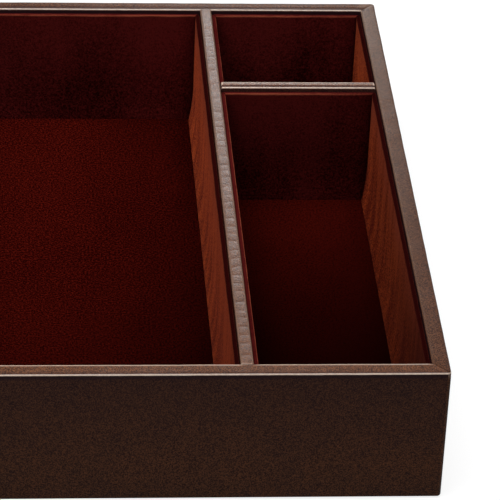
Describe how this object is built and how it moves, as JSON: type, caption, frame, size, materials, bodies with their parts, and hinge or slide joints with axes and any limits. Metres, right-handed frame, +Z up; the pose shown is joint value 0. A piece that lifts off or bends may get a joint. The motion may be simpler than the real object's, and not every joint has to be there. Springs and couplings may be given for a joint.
{
  "type": "desk organizer tray",
  "caption": "Shallow rectangular desk tray wrapped in leather, with velvet-lined open compartments for papers, pens and small things.",
  "frame": {"origin": "middle of the underside, on the surface that the tray stands on", "axes": "+Z up, +X along the long side to the right, +Y to the back where the small compartments are"},
  "size_m": [0.46, 0.412, 0.082],
  "materials": {
    "board": "raw fibreboard",
    "leather": "dark brown fine grain, satin",
    "velvet": "dark red short-pile velvet",
    "felt": "dark brown felt"
  },
  "bodies": {
    "root": {"back_wall_board": "board", "back_wall_cover": "leather", "base_board": "board", "front_wall_board": "board", "front_wall_cover": "leather", "left_back_back_liner": "velvet", "left_back_floor_pad": "velvet", "left_back_front_liner": "velvet", "left_back_left_liner": "velvet", "left_back_right_liner": "velvet", "left_cross_board": "board", "left_cross_cover": "leather", "left_divider_board": "board", "left_divider_cover": "leather", "left_front_back_liner": "velvet", "left_front_floor_pad": "velvet", "left_front_front_liner": "velvet", "left_front_left_liner": "velvet", "left_front_right_liner": "velvet", "left_wall_board": "board", "left_wall_cover": "leather", "middle_back_liner": "velvet", "middle_floor_pad": "velvet", "middle_front_liner": "velvet", "middle_left_liner": "velvet", "middle_right_liner": "velvet", "right_back_back_liner": "velvet", "right_back_floor_pad": "velvet", "right_back_front_liner": "velvet", "right_back_left_liner": "velvet", "right_back_right_liner": "velvet", "right_cross_board": "board", "right_cross_cover": "leather", "right_divider_board": "board", "right_divider_cover": "leather", "right_front_back_liner": "velvet", "right_front_floor_pad": "velvet", "right_front_front_liner": "velvet", "right_front_left_liner": "velvet", "right_front_right_liner": "velvet", "right_wall_board": "board", "right_wall_cover": "leather", "underside_sheet": "felt"}
  },
  "joints": []
}
